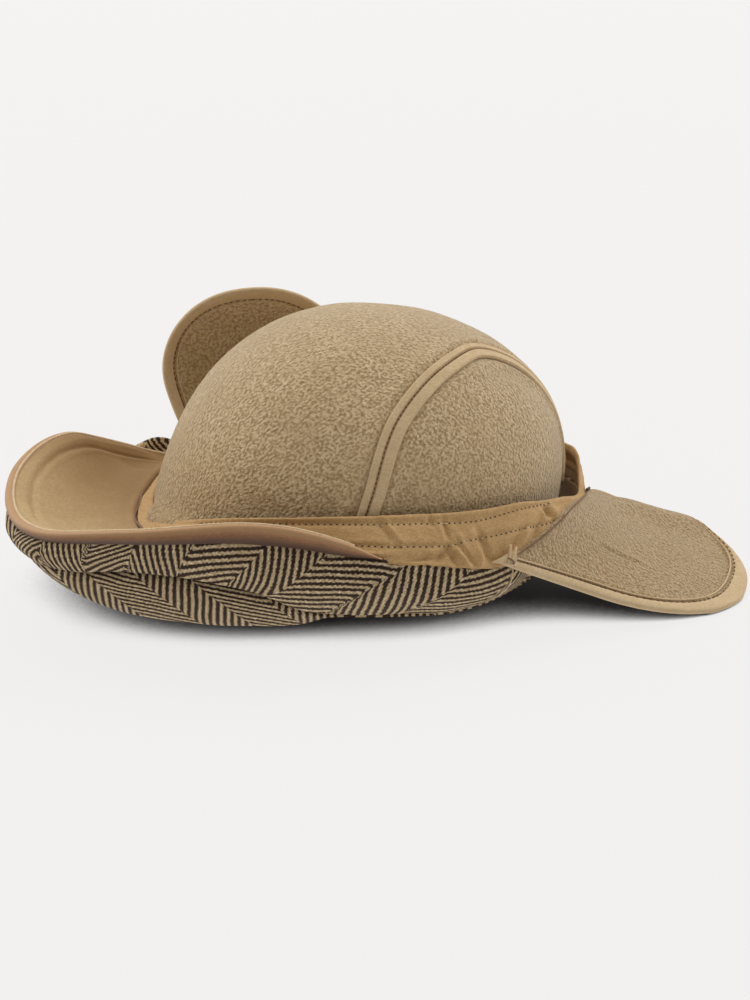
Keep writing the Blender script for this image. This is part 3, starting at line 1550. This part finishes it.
def piping_place(a, b):
    at = lerp(*PEAK_ENDS, a)
    turn = 2 * math.pi * b
    full = piping_fullness(at)
    above, below = columns(piping_tall(at))
    tall = full * ((above - below) / 2 + (above + below) / 2 * np.cos(turn))
    thick = PIPING["half_thick"] * full * np.sin(turn)
    thick = thick * (1 + PIPING["fuller_top"] * np.cos(turn))
    raised = peak_edge_point(at) + wall_rise(at) * tall[..., None]
    return raised + peak_edge_out(at) * thick[..., None]


piping = cloth("peak_piping_roll", (300, PIPING_FACES), piping_place, (0, -60, 50))
close_ends(piping)
sew_on(piping, PIPING_CLOTH, "piping", "peak_piping")


def whip_line(a):
    """The line where the cotton is whipped to the piping, just inside its top."""
    at = lerp(PEAK_ENDS[0] + 2, PEAK_ENDS[1] - 8, a)
    full = piping_fullness(at)[..., None]
    top = piping_tall(at)[..., :1] - WHIP["down"]
    raised = peak_edge_point(at) + wall_rise(at) * top * full
    return raised - peak_edge_out(at) * WHIP["in"] * full


sew_on(cord("peak_whip_ridge", whip_line, WHIP["radius"], 300), PALE_THREAD, "cotton")
a = np.linspace(0.004, 0.996, WHIP["count"])
spots = whip_line(a)
ahead = unit(whip_line(a + 1e-3) - whip_line(a - 1e-3))
over = unit(ahead + WHIP["slant"] * np.cross(ahead, [0, 0, 1]))
upward = np.broadcast_to([0.0, 0, 1], over.shape)
whip = stitch_row("peak_whip_stitches", spots, over, upward, WHIP["size"])
sew_on(whip, PALE_THREAD, "cotton")

# %% [markdown]
# ## The ear flaps
#
# An ear flap is a tongue of fleece backed with tweed and bound round its three free sides.
# Laid out flat it is simple, so its places are worked out on the flat first. Three ribs then
# say how the flap lies: each runs from the head seam through a middle place to the end. A
# cloth simulation could drop it on the floor, but the ribs put it where a hand laid it. One
# flap lies spread out at the right, and its far edge is rolled under. The other stands up.

# %% The flaps' shape
FLAP = {
    "width": 98,
    "length": 94,
    "straight": 44,
    "tucked": 4.5,
    "root_up": 0.2,
    "roundness": 2.3,
    "wall": 2.6,
}
BINDING = {"width": 7, "wall": 3.2, "lift": 0.3, "narrows": (0.47, 0.63)}
FLAP_ROLL = {
    "height": 3.6,
    "at": -36,
    "spread": 8,
    "edge": (38, 49),
    "root": (8, 42),
    "tip": (66, 82),
}
FLAP_POSES = {
    "right": {
        "root_off": 3.4,
        "ribs": [
            (63, (40.5, 138.5, 32.5), (66, 182.5, 17.2)),
            (36, (83.8, 105.2, 26.2), (104.9, 153.8, 4.5)),
            (9, (111.3, 66.2, 17), (134.6, 114.4, -3)),
        ],
        "below": (90, 110, -300),
        "far_roll": 1.0,
        "far_binding": 0.15,
        "creases": [  # across, along, slant, half length, half width, height
            (10.9, 40, 82, 15, 0.9, 0.6),
            (12.8, 40, 82, 15, 1.0, -0.65),
            (10.5, 15, 100, 7, 1.2, -0.4),
            (20, 60, 160, 6, 1.3, 0.5),
            (-14, 58, 60, 14, 3.0, 0.4),
            (24, 66, 15, 12, 2.6, -0.35),
        ],
    },
    "left": {
        "root_off": 2,
        "ribs": [
            (201, (-117.7, -44, 78), (-118.5, -49.3, 117.5)),
            (176, (-113.5, 5.5, 86), (-100.2, -5.6, 126)),
            (149, (-91.6, 49.4, 84), (-77.5, 37.8, 124)),
        ],
        "below": (-400, 60, 60),
        "far_roll": 0.0,
        "far_binding": 0.8,
        "creases": [
            (10, 50, 65, 16, 3.0, 0.4),
            (-16, 36, 100, 14, 3.0, -0.4),
        ],
    },
}


def quadratic(first, middle, last, t):
    """The curve through three values, at 0, a half and 1."""
    first, last = first * (2 * (t - 0.5) * (t - 1)), last * (2 * t * (t - 0.5))
    return first + middle * (4 * t * (1 - t)) + last


def flap_point(pose, x, y):
    """Where a place on the flat tongue lies: x across from its middle, y from its root."""
    across = (x / FLAP["width"] + 0.5)[..., None]
    ribs = [[np.array(value, float) for value in rib] for rib in pose["ribs"]]
    bearing, middle, end = (quadratic(*places, across) for places in zip(*ribs))
    start = head_seam_point(bearing[..., 0], pose["root_off"], FLAP["root_up"])
    points = quadratic(start, middle, end, (y / FLAP["length"])[..., None])
    rolled = hump(x, FLAP_ROLL["at"], FLAP_ROLL["spread"]) - eased(-x, *FLAP_ROLL["edge"])
    rolled = rolled * eased(y, *FLAP_ROLL["root"]) * (1 - eased(y, *FLAP_ROLL["tip"]))
    points[..., 2] += pose["far_roll"] * FLAP_ROLL["height"] * rolled
    points[..., 2] = np.maximum(points[..., 2], BINDING["wall"])
    return points


def flap_face(pose, x, y, off):
    """A point on the flap's fleece side, stood off by a little, with the way out."""
    step = 0.5
    point = flap_point(pose, x, y)
    ahead = flap_point(pose, x + step, y) - flap_point(pose, x - step, y)
    aside = flap_point(pose, x, y + step) - flap_point(pose, x, y - step)
    out = turned_out(unit(np.cross(ahead, aside)), point, pose["below"])
    return point + out * np.asarray(off)[..., None], out


def tongue_end(turn, inset):
    """Half the tongue's width and its reach at a turn round its end, drawn in by an inset."""
    power = 2 / FLAP["roundness"]
    half = (FLAP["width"] / 2 - inset) * np.maximum(np.cos(turn), 0) ** power
    reach = FLAP["straight"] + (FLAP["length"] - FLAP["straight"] - inset) * np.sin(turn) ** power
    return half, reach


STRAIGHT_SHARE = 0.26


def binding_width(pose, a):
    """How much binding shows: on the far side it rolls under with the flap's edge."""
    return BINDING["width"] * lerp(1, pose["far_binding"], eased(a, *BINDING["narrows"]))


def flap_outline(a, inset):
    """Round the three free sides, from one end of the root to the other."""
    from_end = np.minimum(a, 1 - a)
    turn = np.clip((from_end - STRAIGHT_SHARE) / (0.5 - STRAIGHT_SHARE), 0, 1) * math.pi / 2
    half, reach = tongue_end(turn, inset)
    straight = lerp(-FLAP["tucked"], FLAP["straight"], from_end / STRAIGHT_SHARE)
    y = np.where(from_end < STRAIGHT_SHARE, straight, reach)
    return np.where(a < 0.5, half, -half), y


for side, pose in FLAP_POSES.items():
    tip = flap_point(pose, np.array(0.0), np.array(float(FLAP["length"])))
    print(side, "flap's tip, in millimetres:", tip.round(1))

# %% [markdown]
# ## The flaps' cloth and binding
#
# The fleece is a grid whose rows run across the tongue. At the round end the rows would
# shrink to a point, so the last one stops a little short of it and the rows are pushed out
# to make up for it. The binding is a flat closed tube all round the edge. Inside it run a
# row of stitches and a fine cord, and a brown crease marks the root. Cut in one piece with
# the fleece, the binding would have no edge of its own to catch the light.

# %% Flap cloth and binding
FLAP_EDGE = {"gap": -0.3, "straight": 0.42, "turned": 0.91, "pushed_out": 1.012}
FLAP_CORD = {"in": 1.3, "radius": 0.5, "lift": 0.25}
FLAP_ROOT_FOLD = {"near": 6, "far": 3, "in": -3.2, "lift": 0.2, "radius": 0.5}
FLAP_STITCHES = {"count": 96, "lift": 0.3, "size": (2.0, 0.8, 0.7)}
BINDING_SQUARE = 0.7
FLAP_RELIEF = [(0.5, 4, 2.5), (-0.5, 0, 1.6)]  # height, distance from the edge, spread
FLAP_LUMPS = {"curls": [(0.12, 3.4, 2.9)], "curls_along": (1, 1.5, 1), "soft": [(0.7, 32, 0.6)]}


def squared(wave):
    """A sine or cosine with fuller shoulders, so that a tube gets flat sides."""
    return np.sign(wave) * np.abs(wave) ** BINDING_SQUARE


for side, pose in FLAP_POSES.items():

    def flap_flat(a, b, pose=pose):
        straight = FLAP_EDGE["straight"]
        share = np.clip((a - straight) / (1 - straight), 0, 1) * FLAP_EDGE["turned"]
        round_edge = lerp(STRAIGHT_SHARE * np.clip(a / straight, 0, 1), 0.5, share)
        ends = [
            tongue_end(share * math.pi / 2, binding_width(pose, edge) + FLAP_EDGE["gap"])
            for edge in (round_edge, 1 - round_edge)
        ]
        (near_half, near_reach), (far_half, far_reach) = ends
        on_straight = lerp(-FLAP["tucked"], FLAP["straight"], a / straight)
        round_part = (lerp(near_reach, far_reach, b) - FLAP["straight"]) * FLAP_EDGE["pushed_out"]
        y = np.where(a < straight, on_straight, FLAP["straight"] + round_part)
        x = lerp(near_half, -far_half, b)
        return x, y, np.where(x > 0, near_half, far_half)

    def flap_place(a, b, pose=pose, flat=flap_flat):
        return flap_point(pose, *flat(a, b)[:2])

    def flap_pile(a, b, pose=pose, place=flap_place, flat=flap_flat):
        points = place(a, b)
        x, y, half = flat(a, b)
        from_edge = np.minimum(half - np.abs(x), FLAP["length"] * (1 - a))
        curls = lumps(points * FLAP_LUMPS["curls_along"], FLAP_LUMPS["curls"])
        soft = curls + lumps(points, FLAP_LUMPS["soft"])
        return soft + hills(from_edge, FLAP_RELIEF) + creases(x, y, pose["creases"])

    flap = cloth(
        f"ear_flap_fleece_{side}",
        (100, 96),
        flap_place,
        pose["below"],
        flap_pile,
        lambda a, b: np.stack(flap_flat(a, b)[:2], -1),
    )
    solid = thicken(flap, FLAP["wall"], rounded=False)
    solid.material_offset = 1
    sew_on(flap, FLEECE, "fleece", f"ear_flap_{side}")
    flap.data.materials.append(TWEED)

    def binding_place(a, b, pose=pose):
        turn = 2 * math.pi * b
        inset = binding_width(pose, a) / 2 * (1 + squared(np.cos(turn)))
        x, y = flap_outline(a, inset)
        off = squared(np.sin(turn)) * BINDING["wall"] / 2 - FLAP["wall"] / 2 + BINDING["lift"]
        return flap_face(pose, x, y, off)[0]

    binding = cloth(f"flap_edge_binding_{side}", (260, 20), binding_place, (0, 0, 0))
    close_ends(binding)
    sew_on(binding, BINDING_CLOTH, "binding", f"flap_binding_{side}")

    a = np.linspace(0.015, 0.985, FLAP_STITCHES["count"])
    x, y = flap_outline(a, binding_width(pose, a) + FLAP_EDGE["gap"])
    spots, out = flap_face(pose, x, y, FLAP_STITCHES["lift"])
    name = f"flap_stitches_{side}"
    row = stitch_row(name, spots, way_along(spots), out, FLAP_STITCHES["size"])
    sew_on(row, BROWN_THREAD, "binding")

    def edge_cord(a, pose=pose):
        a = np.clip(a, 0, 1)
        x, y = flap_outline(a, binding_width(pose, a) + FLAP_CORD["in"])
        return flap_face(pose, x, y, FLAP_CORD["lift"])[0]

    def root_fold(a, pose=pose):
        half = FLAP["width"] / 2
        x = lerp(half - FLAP_ROOT_FOLD["near"], FLAP_ROOT_FOLD["far"] - half, a)
        return flap_face(pose, x, np.full_like(x, FLAP_ROOT_FOLD["in"]), FLAP_ROOT_FOLD["lift"])[0]

    inner = cord(f"flap_edge_cord_{side}", edge_cord, FLAP_CORD["radius"], 200, pose["below"])
    sew_on(inner, TAPE_CLOTH, "binding")
    crease = cord(f"flap_root_fold_{side}", root_fold, FLAP_ROOT_FOLD["radius"], 120, pose["below"])
    sew_on(crease, BROWN_THREAD, "fleece")

# %% [markdown]
# ## Threads at the flap's corners
#
# Where a flap's binding ends at the head seam, a maker tucks the end into a small fold and
# tacks it with a few turns of thread. The loose ends stand up a little. They could be curves
# with a bevel, but `cord` is at hand already: a thread is a cord along a short bent line.

# %% The fold at the near corner
NEAR_FOLD = {
    "tip": (105.0, 8.5, 42.2),
    "upper": (103.4, 23.0, 45.6),
    "lower": (104.6, 22.0, 37.6),
    "bulge": 1.4,
    "bulges_to": (0.9, -0.3, 0.2),
    "wall": 1.1,
}


def near_fold_place(a, b):
    tip, upper, lower = (np.array(NEAR_FOLD[key]) for key in ("tip", "upper", "lower"))
    far_end = lerp(upper, lower, b[..., None])
    points = lerp(tip, far_end, lerp(0.04, 1, a)[..., None])
    bulge = NEAR_FOLD["bulge"] * np.sin(math.pi * b) * a
    return points + np.array(NEAR_FOLD["bulges_to"]) * bulge[..., None]


near_fold = cloth("flap_corner_fold", (24, 16), near_fold_place, (0, 0, 40))
thicken(near_fold, NEAR_FOLD["wall"])
sew_on(near_fold, BINDING_CLOTH, "binding")

# %% Loose ends and tacks
LOOSE_THREADS = {  # name: radius, finish, first place, middle place, last place
    "near_thread_1": (0.62, TAPE_CLOTH, (105.6, 17, 40.2), (104.4, 18.6, 44.4), (102.2, 20.2, 47.6)),
    "near_thread_2": (0.62, TAPE_CLOTH, (105.6, 17.6, 40), (104.6, 20.4, 43.2), (102.4, 23.2, 46)),
    "near_thread_3": (0.4, PALE_THREAD, (105, 15.6, 40.8), (106.2, 18.6, 39.4), (104.8, 22, 39.6)),
    "near_thread_4": (0.4, BROWN_THREAD, (105.4, 17, 42.8), (106.2, 19.2, 41.4), (105.4, 20.2, 38.4)),
}
FAR_TACK = {"x": (-40, -48.5), "y": (-4.5, 1), "lift": 0.6, "wide": 0.7, "turns": 2, "radius": 0.55}


def bent_line(first, middle, last):
    first, middle, last = (np.array(place, float) for place in (first, middle, last))
    return lambda a: quadratic(first, middle, last, np.asarray(a, float)[..., None])


for name, (radius, finish, *places) in LOOSE_THREADS.items():
    sew_on(cord(name, bent_line(*places), radius, 20), finish, "binding")


def far_tack(phase):
    """One of two threads twisted round each other over the right flap's far root corner."""

    def line(a):
        x, y = lerp(*FAR_TACK["x"], a), lerp(*FAR_TACK["y"], a)
        middle, out = flap_face(FLAP_POSES["right"], x, y, FAR_TACK["lift"] + 0 * a)
        turn = (2 * math.pi * (FAR_TACK["turns"] * a + phase))[..., None]
        twist = out * np.cos(turn) + np.array([0, 0.6, 0.8]) * np.sin(turn)
        return middle + FAR_TACK["wide"] * twist

    return line


for phase in (0.0, 0.5):
    name = f"far_tack_{round(1 + 2 * phase)}"
    tack = cord(name, far_tack(phase), FAR_TACK["radius"], 40, (1, 0, 0))
    sew_on(tack, DARK_THREAD, "binding")

# %% [markdown]
# ## Threads on the tweed
#
# Two loose threads lie on the tweed. A pale one runs down the near side seam, just inside the
# front wall's end, and a rusty one lies beside that seam on the rear wall. They could be
# drawn in the tweed's finish, but they rest on top of its nap, so they are cords as well.

# %% Threads on the tweed
THREAD_LIFT = 0.3
FRONT, REAR = (front_place, front_height), (rear_place, rear_height)
TWEED_THREADS = {  # name: wall, round it, up it, radius, steps, finish
    "side_seam_thread": (FRONT, (0.997, 0.997), (0.96, 0.12), 0.36, 60, PALE_THREAD),
    "rust_thread_end": (REAR, (0.19, 0.14), (0.06, 0.4), 0.35, 24, RUST_THREAD),
}
for name, (wall, round_it, up_it, radius, steps, finish) in TWEED_THREADS.items():

    def thread_line(a, wall=wall, round_it=round_it, up_it=up_it):
        return on_cloth(*wall, CAP_MIDDLE, lerp(*round_it, a), lerp(*up_it, a), THREAD_LIFT)[0]

    sew_on(cord(name, thread_line, radius, steps, (0, 1, 0)), finish, "tweed")
